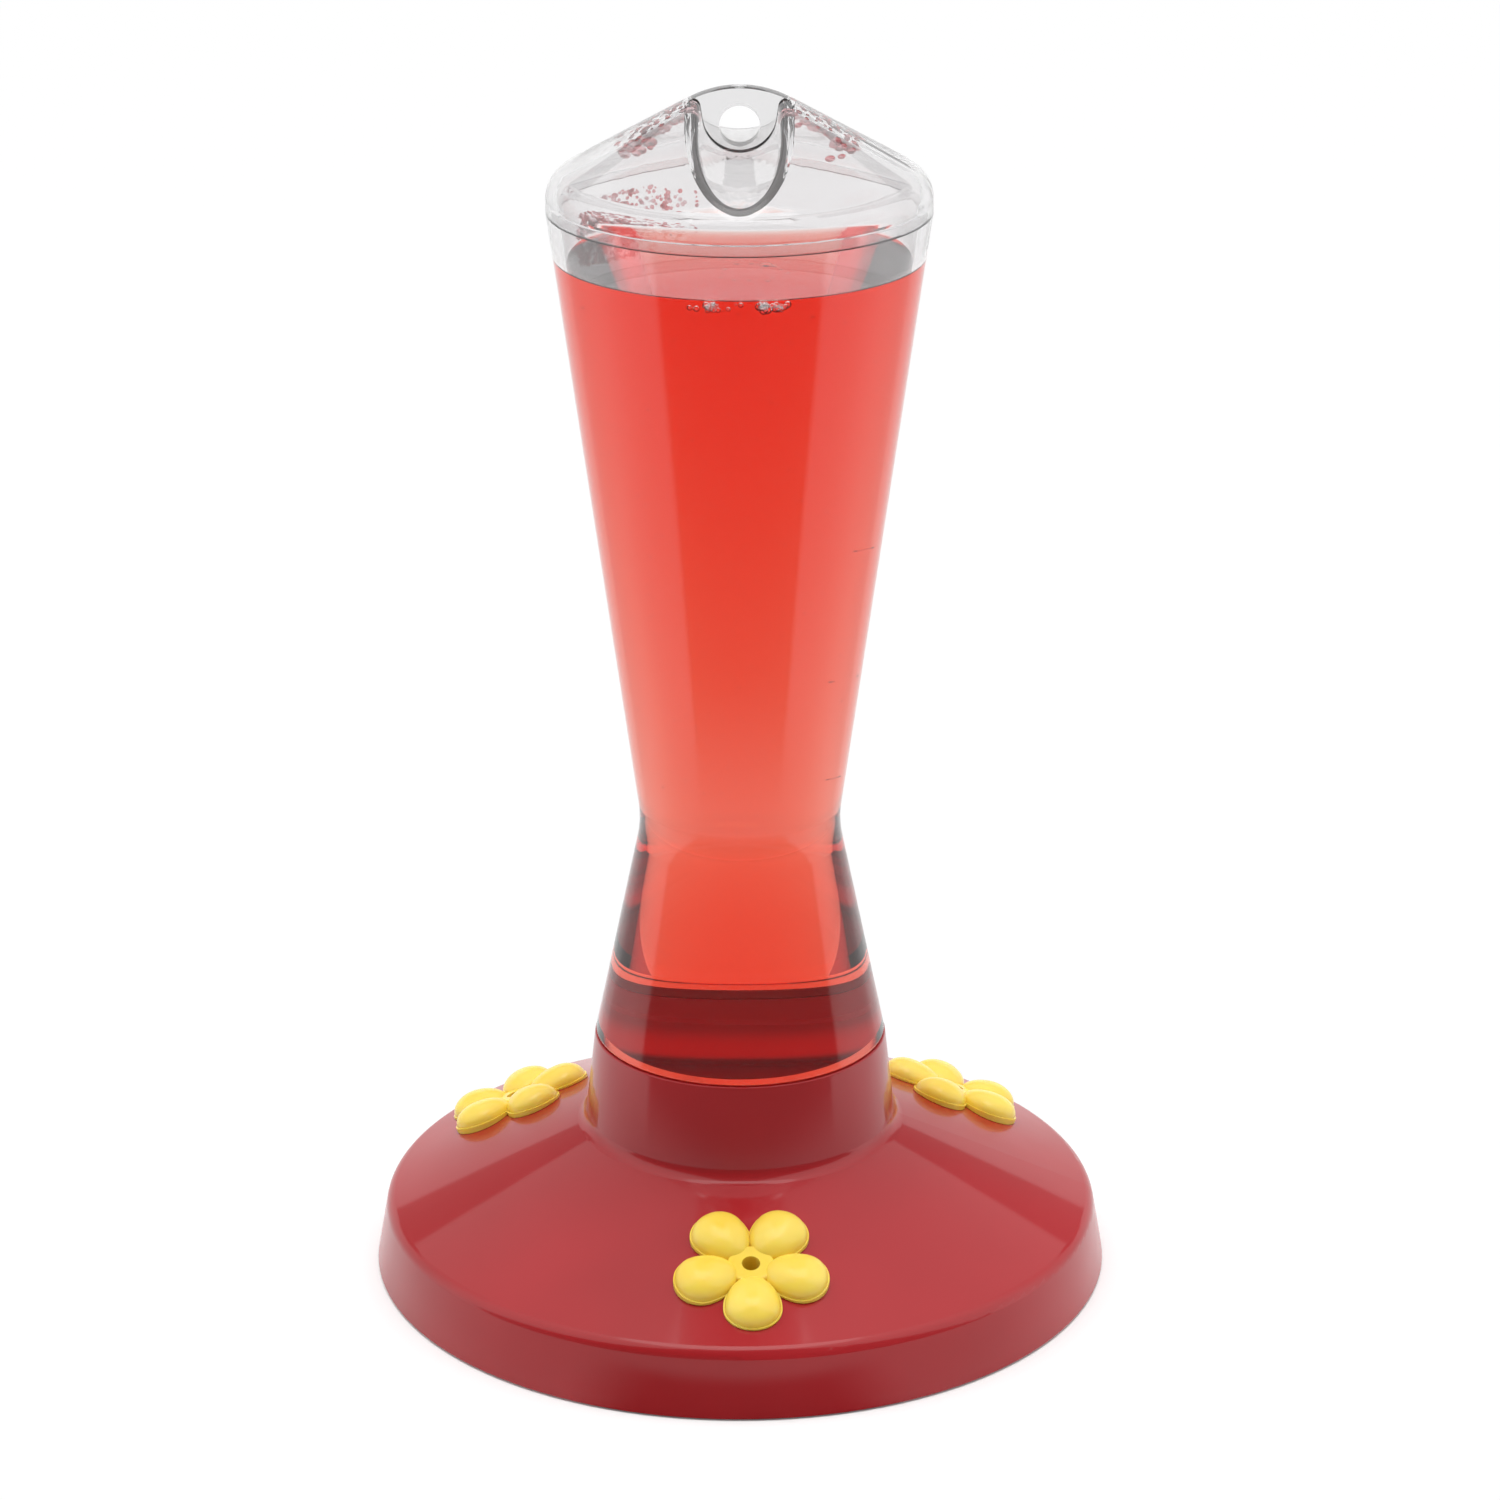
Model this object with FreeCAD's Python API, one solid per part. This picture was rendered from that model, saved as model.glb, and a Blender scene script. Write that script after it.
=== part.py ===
import FreeCAD, Part
import math
import os

from FreeCAD import Vector

# A pinch-waisted hummingbird feeder that stands on its round base.
# Millimetres, +Z up, origin at the middle of the base on the surface that it stands on.
# -Y is the front. The hole that it hangs by runs along Y.

# Bottle neck and the screw thread that it shares with the collar
neck_radius = 21.3
neck_wall = 1.5
thread_lead = 4.2
thread_depth = 1.1
thread_root_width = 2.2
thread_crest_width = 1.2
thread_bite = 0.3
thread_clearance = 0.35
bottle_thread_turns = 1.5
collar_thread_turns = 1.0
neck_bore_radius = neck_radius - neck_wall

# Base cover: rim, sloping top and the collar that the bottle screws into
rim_radius = 62.5
rim_lip_height = 0.2
rim_lip_rounding = 0.3
crease_inset = 2.0
crease_height = 11.3
slope_rise = 14.3
collar_height = 15.7
collar_flare = 1.8
collar_lip = 1.05
seal_ledge = 0.8
cover_wall = 1.8
crease_rounding = 2.4
collar_root_rounding = 2.6
crease_radius = rim_radius - crease_inset
bore_radius = neck_radius + thread_depth + thread_clearance
seal_seat_radius = bore_radius + seal_ledge
collar_top_radius = seal_seat_radius + collar_lip
collar_root_radius = collar_top_radius + collar_flare
collar_root_height = crease_height + slope_rise
collar_top_height = collar_root_height + collar_height

# Inside the collar: seal seat, ledge under the neck and the tube that sets the nectar level
seal_seat_depth = 1.7
ledge_rise = 1.4
ledge_thickness = 1.8
level_tube_inset = 3.3
level_tube_wall = 1.6
air_notch_count = 3
air_notch_width = 5.0
air_notch_height = 2.4
ledge_height = collar_root_height + ledge_rise
level_tube_radius = neck_bore_radius - level_tube_inset

# Tray that closes the base from below
tray_wall = 1.6
tray_floor = 1.6
tray_clearance = 0.35
tray_seat_gap = 0.05
foot_height = 1.3
foot_inset = 7.5
foot_width = 3.2
level_tube_gap = 2.7
foot_radius = rim_radius - foot_inset
level_tube_foot = foot_height + tray_floor + level_tube_gap
tray_level = level_tube_foot + air_notch_height

# Yellow flowers, each a moulding with a hollow stem
petal_count = 5
petal_inner_end = 2.2
petal_outer_end = 13.1
petal_widest_at = 8.7
petal_width = 9.6
petal_edge = 0.4
petal_dome = 2.9
dome_inset = 0.25
hub_radius = 3.9
hub_height = 1.3
stem_radius = 2.8
stem_length = 7.5
sip_hole_radius = 1.5
flower_seat_gap = 0.05

# Feeding ports, a little outside the middle of the sloping top
port_count = 3
port_offset = 0.85
port_phase_deg = 2.2
port_clearance = 0.3
port_radius = (crease_radius + collar_root_radius) / 2 + port_offset
port_hole_radius = stem_radius + port_clearance

# Bottle: hourglass body that is flush with the collar, with the welded cap on top
bottle_wall = 2.0
mouth_rise = 1.6
thread_rise = 2.6
shoulder_gap = 0.2
heel_inset = 0.1
waist_radius = 16.5
waist_rise = 38.0
waist_rounding = 18.0
seam_radius = 30.9
seam_rise = 104.0
weld_tongue = 1.6
weld_gap = 0.04
mouth_height = ledge_height + mouth_rise
thread_first_height = mouth_height + thread_rise
shoulder_height = collar_top_height + shoulder_gap
heel_radius = collar_top_radius - heel_inset
waist_height = shoulder_height + waist_rise
seam_height = waist_height + seam_rise

# Cap: upright skirt, roof that would come to a point at roof_peak_rise, rounded off at the top
cap_skirt_height = 4.9
cap_shoulder_rounding = 5.0
roof_peak_rise = 22.5
roof_dome_radius = 8.5

# Hollows scooped out of the roof, and the web that they leave with its hole
web_thickness = 3.0
web_below_hole = 1.0
hang_hole_radius = 3.25
scoop_depth_at_web = 10.35
scoop_depth_at_front = 13.25
scoop_radius_at_web = 5.9
scoop_radius_at_front = 8.0
scoop_draft_deg = 9.0
scoop_edge_rounding = 1.4

# Ring seal between the collar's seat and the bottle's shoulder
seal_neck_clearance = 0.08
seal_seat_clearance = 0.3
seal_face_gap = 0.08

# Nectar
nectar_depth_below_seam = 7.6
nectar_film_gap = 0.05
mouth_gap = 0.3
meniscus_rise = 0.9
meniscus_width = 2.2
nectar_level = seam_height - nectar_depth_below_seam

UP = Vector(0, 0, 1)
ORIGIN = Vector(0, 0, 0)


# Sketch helpers

def rounded_outline(corners):
    """Closed wire through (radius, height, rounding) corners in the XZ plane."""
    points = [Vector(r, 0, z) for r, z, rounding in corners]
    edges = []
    trims = []
    for i, (r, z, rounding) in enumerate(corners):
        here = points[i]
        back = points[i - 1] - here
        ahead = points[(i + 1) % len(points)] - here
        if rounding <= 0:
            trims.append((here, here, None))
            continue
        back.normalize()
        ahead.normalize()
        half = back.getAngle(ahead) / 2
        reach = rounding / math.tan(half)
        inward = back + ahead
        inward.normalize()
        centre = here + inward * (rounding / math.sin(half))
        start = here + back * reach
        end = here + ahead * reach
        middle = centre - inward * rounding
        trims.append((start, end, middle))
    for i, (start, end, middle) in enumerate(trims):
        if middle is not None:
            edges.append(Part.Arc(start, middle, end).toShape())
        following = trims[(i + 1) % len(trims)][0]
        if (following - end).Length > 1e-6:
            edges.append(Part.LineSegment(end, following).toShape())
    return Part.Wire(edges)


def turned(corners):
    """Solid of revolution about Z of a section given by its corners."""
    return Part.Face(rounded_outline(corners)).revolve(ORIGIN, UP, 360)


def on_line(height, low, high):
    """Radius at a height on the straight line between two (radius, height) points."""
    share = (height - low[1]) / (high[1] - low[1])
    return low[0] + share * (high[0] - low[0])


def helical_ridge(surface_radius, outward, first_height, turns):
    """Trapezoid thread ridge that stands thread_depth off a cylinder, outward or inward."""
    sign = 1 if outward else -1
    root = surface_radius - sign * thread_bite
    crest = surface_radius + sign * thread_depth
    half_root = thread_root_width / 2
    half_crest = thread_crest_width / 2
    section = Part.makePolygon([
        Vector(root, 0, first_height - half_root),
        Vector(crest, 0, first_height - half_crest),
        Vector(crest, 0, first_height + half_crest),
        Vector(root, 0, first_height + half_root),
        Vector(root, 0, first_height - half_root),
    ])
    helix = Part.makeHelix(thread_lead, thread_lead * turns, surface_radius)
    helix.translate(Vector(0, 0, first_height))
    return Part.Wire(helix.Edges).makePipeShell([section], True, True)


# Base cover

cover_slope = math.atan2(collar_root_height - crease_height, crease_radius - collar_root_radius)
cover_drop = cover_wall / math.cos(cover_slope)


def cover_top_height(radius):
    """Height of the cover's sloping top at a radius."""
    return collar_root_height - (radius - collar_root_radius) * math.tan(cover_slope)


def cover_underside_radius(height):
    """Radius at which the underside of the sloping top has a given height."""
    return collar_root_radius + (collar_root_height - cover_drop - height) / math.tan(cover_slope)


def rim_inner_radius(height):
    """Inside radius of the cover's rim at a height."""
    outer = on_line(height, (rim_radius, rim_lip_height), (crease_radius, crease_height))
    lean = math.atan2(rim_radius - crease_radius, crease_height - rim_lip_height)
    return outer - cover_wall / math.cos(lean)


def port_frame(index):
    """Placement with its origin on the sloping top at a port, Z square to it, X towards the rim."""
    turn = FreeCAD.Rotation(UP, -90 + port_phase_deg + index * 360 / port_count)
    lean = FreeCAD.Rotation(Vector(0, 1, 0), math.degrees(cover_slope))
    where = Vector(port_radius, 0, cover_top_height(port_radius))
    return FreeCAD.Placement(turn.multVec(where), turn.multiply(lean))


def base_cover():
    seat_height = collar_top_height - seal_seat_depth
    ledge_underside = ledge_height - ledge_thickness
    tube_outer = level_tube_radius + level_tube_wall
    inner_crease_height = crease_height - cover_wall * 0.65
    inner_crease_radius = rim_inner_radius(inner_crease_height)
    cover = turned([
        (rim_radius, rim_lip_height, rim_lip_rounding),
        (crease_radius, crease_height, crease_rounding),
        (collar_root_radius, collar_root_height, collar_root_rounding),
        (collar_top_radius, collar_top_height, 0.3),
        (seal_seat_radius, collar_top_height, 0.2),
        (seal_seat_radius, seat_height, 0),
        (bore_radius, seat_height, 0.2),
        (bore_radius, ledge_height, 0.4),
        (level_tube_radius, ledge_height, 0.5),
        (level_tube_radius, level_tube_foot, 0.3),
        (tube_outer, level_tube_foot, 0.3),
        (tube_outer, ledge_underside, 0.8),
        (cover_underside_radius(ledge_underside), ledge_underside, 0.8),
        (inner_crease_radius, cover_top_height(inner_crease_radius) - cover_drop, 0.8),
        (rim_inner_radius(rim_lip_height), rim_lip_height, 0.3),
    ])
    thread_start = thread_first_height + thread_lead / 2
    cover = cover.fuse(helical_ridge(bore_radius, False, thread_start, collar_thread_turns))
    for index in range(port_count):
        hole = Part.makeCylinder(port_hole_radius, 4 * cover_wall, Vector(0, 0, -2 * cover_wall))
        hole.Placement = port_frame(index)
        cover = cover.cut(hole)
    for index in range(air_notch_count):
        notch = Part.makeBox(2 * tube_outer, air_notch_width, air_notch_height + 1)
        notch.translate(Vector(0, -air_notch_width / 2, level_tube_foot - 1))
        notch.rotate(ORIGIN, UP, 90 + port_phase_deg + index * 360 / air_notch_count)
        cover = cover.cut(notch)
    return cover


# Feeding flowers

def half_oval(end, half_width):
    """Quarter-ellipse edge from a petal's widest place to one of its two ends."""
    centre = Vector(petal_widest_at, 0, 0)
    tip = Vector(end, 0, 0)
    side = centre + Vector(0, half_width, 0)
    if abs(end - petal_widest_at) >= half_width:
        oval = Part.Ellipse(tip, side, centre)
    else:
        oval = Part.Ellipse(side, tip, centre)
    first = oval.parameter(side)
    last = oval.parameter(tip)
    if (last - first) % (2 * math.pi) > math.pi:
        first, last = last, first
    if last < first:
        last += 2 * math.pi
    return oval.toShape(first, last)


def half_petal_face(inset):
    """Half of a petal's egg-shaped outline, from its middle line to one side."""
    inner_end = petal_inner_end + inset
    outer_end = petal_outer_end - inset
    half_width = petal_width / 2 - inset
    edges = [half_oval(inner_end, half_width), half_oval(outer_end, half_width)]
    edges.append(Part.LineSegment(Vector(inner_end, 0, 0), Vector(outer_end, 0, 0)).toShape())
    return Part.Face(Part.Wire(Part.__sortEdges__(edges)))


def petal():
    """One egg-shaped petal: a thin flange with a full dome standing a little inside its edge."""
    below = 1.5
    half = half_petal_face(0)
    low = half.extrude(Vector(0, 0, petal_edge + below))
    low = low.fuse(low.mirror(ORIGIN, Vector(0, 1, 0)))
    low.translate(Vector(0, 0, -below))
    dome = half_petal_face(dome_inset).revolve(ORIGIN, Vector(1, 0, 0), 360)
    flatten = FreeCAD.Matrix()
    flatten.scale(1, 1, petal_dome / (petal_width / 2 - dome_inset))
    dome = dome.transformGeometry(flatten)
    dome.translate(Vector(0, 0, petal_edge))
    above = Part.makeBox(60, 60, 20, Vector(-30, -30, petal_edge / 2))
    return low.fuse(dome.common(above))


def flower():
    """A flower in its own frame: Z out of the cover, X towards the rim of the base."""
    hub = Part.makeCylinder(hub_radius, hub_height + 1.5, Vector(0, 0, -1.5))
    rim_edges = [e for e in hub.Edges if e.Closed and abs(e.CenterOfMass.z - hub_height) < 1e-6]
    head = hub.makeFillet(0.6, rim_edges)
    for index in range(petal_count):
        leaf = petal()
        leaf.rotate(ORIGIN, UP, index * 360 / petal_count)
        head = head.fuse(leaf)
    head = head.cut(cover_block())
    stem = Part.makeCylinder(stem_radius, stem_length + hub_height / 2, Vector(0, 0, -stem_length))
    height = stem_length + hub_height + petal_edge + petal_dome
    sip_hole = Part.makeCylinder(sip_hole_radius, height + 2, Vector(0, 0, -stem_length - 1))
    return head.fuse(stem).cut(sip_hole).removeSplitter()


def cover_block():
    """Everything below the cover's sloping top and its seat gap, in a port's frame."""
    lift = flower_seat_gap / math.cos(cover_slope)
    wide = rim_radius + 10
    cone = turned([
        (0, -10, 0),
        (wide, -10, 0),
        (wide, cover_top_height(wide) + lift, 0),
        (1, cover_top_height(1) + lift, 0),
        (0, cover_top_height(1) + lift, 0),
    ])
    return placed(cone, port_frame(0).inverse())


def placed(shape, placement):
    """A copy of a shape moved by a placement."""
    moved = shape.copy()
    moved.Placement = placement
    return moved


# Base tray

def base_tray():
    underside = foot_height
    floor_top = underside + tray_floor
    low_radius = rim_inner_radius(underside) - tray_clearance
    high_radius = rim_inner_radius(crease_height - cover_wall) - tray_clearance
    seat_drop = cover_drop + tray_seat_gap / math.cos(cover_slope)
    outer_lip = cover_top_height(high_radius) - seat_drop
    inner_lip = cover_top_height(high_radius - tray_wall) - seat_drop
    return turned([
        (0, underside, 0),
        (foot_radius - foot_width, underside, 0.5),
        (foot_radius - foot_width + 0.4, 0, 0.3),
        (foot_radius, 0, 0.3),
        (foot_radius + 0.4, underside, 0.5),
        (low_radius, underside, 0.8),
        (high_radius, outer_lip, 0.4),
        (high_radius - tray_wall, inner_lip, 0.3),
        (low_radius - tray_wall, floor_top, 2.0),
        (0, floor_top, 0),
    ])


# Bottle

def bore_meets_heel_height():
    """Height at which the straight bore of the neck meets the flaring inside wall."""
    slope = (heel_radius - waist_radius) / (waist_height - shoulder_height)
    return waist_height - (neck_bore_radius - (waist_radius - bottle_wall)) / slope


def inner_seam_radius():
    return seam_radius - bottle_wall


def bottle_body():
    tongue_top = seam_height + weld_tongue
    tongue_radius = seam_radius - bottle_wall / 2
    body = turned([
        (neck_radius, mouth_height, 0.5),
        (neck_radius, shoulder_height, 0),
        (heel_radius, shoulder_height, 0.4),
        (waist_radius, waist_height, waist_rounding),
        (seam_radius, seam_height, 0),
        (tongue_radius, seam_height, 0),
        (tongue_radius, tongue_top, 0),
        (inner_seam_radius(), tongue_top, 0),
        (inner_seam_radius(), seam_height, 0),
        (waist_radius - bottle_wall, waist_height, waist_rounding),
        (neck_bore_radius, bore_meets_heel_height(), 4.0),
        (neck_bore_radius, mouth_height, 0.5),
    ])
    return body.fuse(helical_ridge(neck_radius, True, thread_first_height, bottle_thread_turns))


roof_slope = math.atan2(roof_peak_rise - cap_skirt_height, seam_radius)
roof_peak_height = seam_height + roof_peak_rise
roof_top_rounding = roof_dome_radius / math.sin(roof_slope)
roof_top_height = roof_peak_height - roof_top_rounding * (1 / math.cos(roof_slope) - 1)
scoop_floor_at_web = roof_top_height - scoop_depth_at_web
scoop_floor_at_front = roof_top_height - scoop_depth_at_front
hang_hole_height = scoop_floor_at_web + web_below_hole + hang_hole_radius


def roof_solid(radius, bottom, drop, corner_rounding, top_rounding):
    """Solid under a conical roof with a rounded shoulder and a ball-shaped top."""
    slope = math.tan(roof_slope)
    peak = roof_peak_height - drop
    ball_centre = peak - top_rounding / math.cos(roof_slope)
    meet_radius = top_rounding * math.sin(roof_slope)
    meet = Vector(meet_radius, 0, peak - meet_radius * slope)
    top = Vector(0, 0, ball_centre + top_rounding)
    half = roof_slope / 2
    between = Vector(top_rounding * math.sin(half), 0, ball_centre + top_rounding * math.cos(half))
    corner = Vector(radius, 0, peak - radius * slope)
    reach = corner_rounding * math.tan((math.pi / 2 - roof_slope) / 2)
    down = corner - Vector(0, 0, reach)
    along = corner + Vector(-math.cos(roof_slope), 0, math.sin(roof_slope)) * reach
    centre = down - Vector(corner_rounding, 0, 0)
    out = (down - centre) + (along - centre)
    out.normalize()
    edges = [
        Part.LineSegment(Vector(0, 0, bottom), Vector(radius, 0, bottom)).toShape(),
        Part.LineSegment(Vector(radius, 0, bottom), down).toShape(),
        Part.Arc(down, centre + out * corner_rounding, along).toShape(),
        Part.LineSegment(along, meet).toShape(),
        Part.Arc(meet, between, top).toShape(),
        Part.LineSegment(top, Vector(0, 0, bottom)).toShape(),
    ]
    return Part.Face(Part.Wire(edges)).revolve(ORIGIN, UP, 360)


def scoop_section(y, floor, radius):
    """U-shaped cross-section of a scoop at one distance from the web."""
    draft = math.radians(scoop_draft_deg)
    top = roof_peak_height + 12
    low_x = radius * math.cos(draft)
    low_z = floor + radius - radius * math.sin(draft)
    high_x = low_x + (top - low_z) * math.tan(draft)
    return Part.Wire([
        Part.Arc(Vector(-low_x, y, low_z), Vector(0, y, floor), Vector(low_x, y, low_z)).toShape(),
        Part.LineSegment(Vector(low_x, y, low_z), Vector(high_x, y, top)).toShape(),
        Part.LineSegment(Vector(high_x, y, top), Vector(-high_x, y, top)).toShape(),
        Part.LineSegment(Vector(-high_x, y, top), Vector(-low_x, y, low_z)).toShape(),
    ])


def scoop(start, growth):
    """Pocket in the front of the roof, from the web outwards, grown all round by growth."""
    front = seam_radius + 4
    reach = front - web_thickness / 2
    full = seam_radius - 2 - web_thickness / 2
    floor_fall = (scoop_floor_at_web - scoop_floor_at_front) / full
    widening = (scoop_radius_at_front - scoop_radius_at_web) / full

    def section(y):
        away = y - web_thickness / 2
        floor = scoop_floor_at_web - floor_fall * away
        radius = scoop_radius_at_web + widening * away
        return scoop_section(-y, floor - growth, radius + growth)

    return Part.makeLoft([section(start), section(web_thickness / 2 + reach)], True, True)


def both_ways(shape):
    """The shape and its copy turned half round the bottle's axis."""
    turned_copy = shape.copy()
    turned_copy.rotate(ORIGIN, UP, 180)
    return [shape, turned_copy]


def hanger_cap():
    tongue_top = seam_height + weld_tongue + weld_gap
    tongue_radius = seam_radius - bottle_wall / 2 + weld_gap
    inner_drop = bottle_wall / math.cos(roof_slope)
    outside = roof_solid(seam_radius, seam_height, 0, cap_shoulder_rounding, roof_top_rounding)
    inside = roof_solid(inner_seam_radius(), seam_height - 1, inner_drop,
                        cap_shoulder_rounding - bottle_wall, roof_top_rounding - bottle_wall)
    roof_skin = outside.Shells[0]
    for pocket in both_ways(scoop(web_thickness / 2, 0)):
        outside = outside.cut(pocket)
    rims = [e for e in outside.Edges if is_scoop_rim(e, roof_skin)]
    outside = outside.makeFillet(scoop_edge_rounding, rims)
    for pocket in both_ways(scoop(0, bottle_wall)):
        inside = inside.cut(pocket)
    rebate = Part.makeCylinder(tongue_radius, tongue_top - seam_height + 1,
                               Vector(0, 0, seam_height - 1))
    hole = Part.makeCylinder(hang_hole_radius, 4 * web_thickness,
                             Vector(0, -2 * web_thickness, hang_hole_height), Vector(0, 1, 0))
    cap = outside.cut(inside).cut(rebate).cut(hole)
    return cap


def is_scoop_rim(edge, roof_skin):
    """True for an edge where a scoop breaks out through the roof, away from the web."""
    box = edge.BoundBox
    middle = edge.valueAt((edge.FirstParameter + edge.LastParameter) / 2)
    if abs(middle.y) < web_thickness / 2 + 0.01 or box.ZMax - box.ZMin < 0.01:
        return False
    return Part.Vertex(middle).distToShape(roof_skin)[0] < 1e-4


# Seal

def neck_seal():
    inner = neck_radius + seal_neck_clearance
    outer = seal_seat_radius - seal_seat_clearance
    bottom = collar_top_height - seal_seat_depth + seal_face_gap
    top = shoulder_height - seal_face_gap
    return turned([
        (inner, bottom, 0.2),
        (outer, bottom, 0.2),
        (outer, top, 0.2),
        (inner, top, 0.2),
    ])


# Nectar

def nectar():
    """Nectar in the bottle, from the mouth to a level that climbs the wall a little."""
    gap = nectar_film_gap
    waist = waist_radius - bottle_wall - gap
    level_radius = on_line(nectar_level + meniscus_rise, (waist, waist_height),
                           (inner_seam_radius() - gap, seam_height))
    return turned([
        (0, mouth_height, 0),
        (neck_bore_radius - gap, mouth_height, 0.5),
        (neck_bore_radius - gap, bore_meets_heel_height(), 4.0),
        (waist, waist_height, waist_rounding),
        (level_radius, nectar_level + meniscus_rise, 0),
        (level_radius - meniscus_width, nectar_level, 2.0),
        (0, nectar_level, 0),
    ])


def nectar_tray():
    """Nectar in the tray, up to the top of the air notches, and in the tube above it."""
    floor_top = foot_height + tray_floor + nectar_film_gap
    inset = tray_clearance + tray_wall + nectar_film_gap
    low = rim_inner_radius(floor_top) - inset
    high = rim_inner_radius(tray_level) - inset
    tube_outside = level_tube_radius + level_tube_wall + nectar_film_gap
    tube_inside = level_tube_radius - nectar_film_gap
    under_tube = level_tube_foot - nectar_film_gap
    return turned([
        (0, floor_top, 0),
        (low, floor_top, 2.2),
        (high, tray_level, 0),
        (tube_outside, tray_level, 0),
        (tube_outside, under_tube, 0),
        (tube_inside, under_tube, 0),
        (tube_inside, mouth_height - mouth_gap, 0),
        (0, mouth_height - mouth_gap, 0),
    ])


def main():
    parts = {
        "base_tray": base_tray(),
        "nectar_tray": nectar_tray(),
        "base_cover": base_cover(),
        "neck_seal": neck_seal(),
        "bottle_body": bottle_body(),
        "hanger_cap": hanger_cap(),
        "nectar": nectar(),
    }
    bloom = flower()
    for index in range(port_count):
        parts["flower_port_%d" % (index + 1)] = placed(bloom, port_frame(index))
    os.makedirs("parts", exist_ok=True)
    for name, shape in parts.items():
        box = shape.BoundBox
        print("%-14s solids %d valid %s volume %.1f z %.2f to %.2f faces %d" % (
            name, len(shape.Solids), shape.isValid(), shape.Volume, box.ZMin, box.ZMax,
            len(shape.Faces)))
        shape.exportStep("parts/%s.step" % name)


main()
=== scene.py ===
import math
import random

import bmesh
import bpy
from mathutils import Matrix, Vector


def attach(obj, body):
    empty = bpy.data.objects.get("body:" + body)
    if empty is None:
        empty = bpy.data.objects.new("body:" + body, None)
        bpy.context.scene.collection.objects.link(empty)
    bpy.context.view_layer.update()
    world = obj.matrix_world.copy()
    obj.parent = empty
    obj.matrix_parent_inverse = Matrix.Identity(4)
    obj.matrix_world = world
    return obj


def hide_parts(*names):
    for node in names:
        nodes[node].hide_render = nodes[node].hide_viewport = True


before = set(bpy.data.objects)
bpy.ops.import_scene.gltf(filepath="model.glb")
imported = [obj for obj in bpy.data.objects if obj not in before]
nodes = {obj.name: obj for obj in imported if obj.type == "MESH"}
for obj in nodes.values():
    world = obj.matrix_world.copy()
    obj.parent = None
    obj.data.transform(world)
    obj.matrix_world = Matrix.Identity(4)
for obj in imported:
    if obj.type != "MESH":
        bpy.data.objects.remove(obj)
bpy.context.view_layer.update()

scene = bpy.context.scene
mm = 0.001


# small helpers

def newMaterial(name):
    material = bpy.data.materials.new(name)
    material.use_nodes = True
    tree = material.node_tree
    tree.nodes.clear()
    output = tree.nodes.new("ShaderNodeOutputMaterial")
    shader = tree.nodes.new("ShaderNodeBsdfPrincipled")
    tree.links.new(shader.outputs["BSDF"], output.inputs["Surface"])
    return material, tree, shader, output


def addNode(tree, kind, values=None):
    node = tree.nodes.new(kind)
    for name, value in (values or {}).items():
        if name in node.inputs:
            node.inputs[name].default_value = value
        else:
            setattr(node, name, value)
    return node


def objectNoise(tree, scale, detail=2.0, stretch=(1, 1, 1)):
    # noise in the object's own metres, so it stays put when the part moves
    place = addNode(tree, "ShaderNodeTexCoord")
    mapping = addNode(tree, "ShaderNodeMapping")
    mapping.inputs["Scale"].default_value = stretch
    noise = addNode(tree, "ShaderNodeTexNoise", {"Scale": scale, "Detail": detail})
    tree.links.new(place.outputs["Object"], mapping.inputs["Vector"])
    tree.links.new(mapping.outputs["Vector"], noise.inputs["Vector"])
    return noise


def ramp(tree, source, stops):
    # colours at places from 0 to 1
    node = addNode(tree, "ShaderNodeValToRGB")
    elements = node.color_ramp.elements
    while len(elements) < len(stops):
        elements.new(0.5)
    for element, (place, colour) in zip(elements, stops):
        element.position = place
        element.color = (*colour, 1)
    tree.links.new(source, node.inputs["Fac"])
    return node


def greyRamp(tree, source, low, high):
    return ramp(tree, source, [(0.3, (low, low, low)), (0.7, (high, high, high))])


def calc(tree, operation, *values):
    # a maths node whose inputs are numbers or sockets
    node = tree.nodes.new("ShaderNodeMath")
    node.operation = operation
    for place, value in zip(node.inputs, values):
        if isinstance(value, (int, float)):
            place.default_value = value
        else:
            tree.links.new(value, place)
    return node.outputs[0]


def between(tree, value, low, high):
    # 0 up to low, 1 from high on, smooth in between
    node = addNode(tree, "ShaderNodeMapRange", {"interpolation_type": "SMOOTHSTEP"})
    node.inputs["From Min"].default_value = low
    node.inputs["From Max"].default_value = high
    tree.links.new(value, node.inputs["Value"])
    return node.outputs["Result"]


def placeParts(tree):
    # x, y and height in the object's own metres
    place = tree.nodes.new("ShaderNodeTexCoord")
    parts = tree.nodes.new("ShaderNodeSeparateXYZ")
    tree.links.new(place.outputs["Object"], parts.inputs[0])
    return parts.outputs


def awayFromAxis(tree, x, y):
    return calc(tree, "SQRT", calc(tree, "MULTIPLY_ADD", x, x, calc(tree, "MULTIPLY", y, y)))


def addBump(tree, shader, source, strength, distance):
    bump = addNode(tree, "ShaderNodeBump", {"Strength": strength, "Distance": distance})
    tree.links.new(source, bump.inputs["Height"])
    tree.links.new(bump.outputs["Normal"], shader.inputs["Normal"])


def mixShaders(tree, share, first, second):
    # first where share is 0, second where it is 1
    blend = tree.nodes.new("ShaderNodeMixShader")
    tree.links.new(share, blend.inputs[0])
    tree.links.new(first.outputs[0], blend.inputs[1])
    tree.links.new(second.outputs[0], blend.inputs[2])
    return blend


def dress(obj, material):
    obj.data.materials.clear()
    obj.data.materials.append(material)


def meshObject(name, build):
    mesh = bpy.data.meshes.new(name)
    form = bmesh.new()
    build(form)
    form.to_mesh(mesh)
    form.free()
    obj = bpy.data.objects.new(name, mesh)
    scene.collection.objects.link(obj)
    return obj


# main sizes that the bottle and what is in it share, in mm

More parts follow.
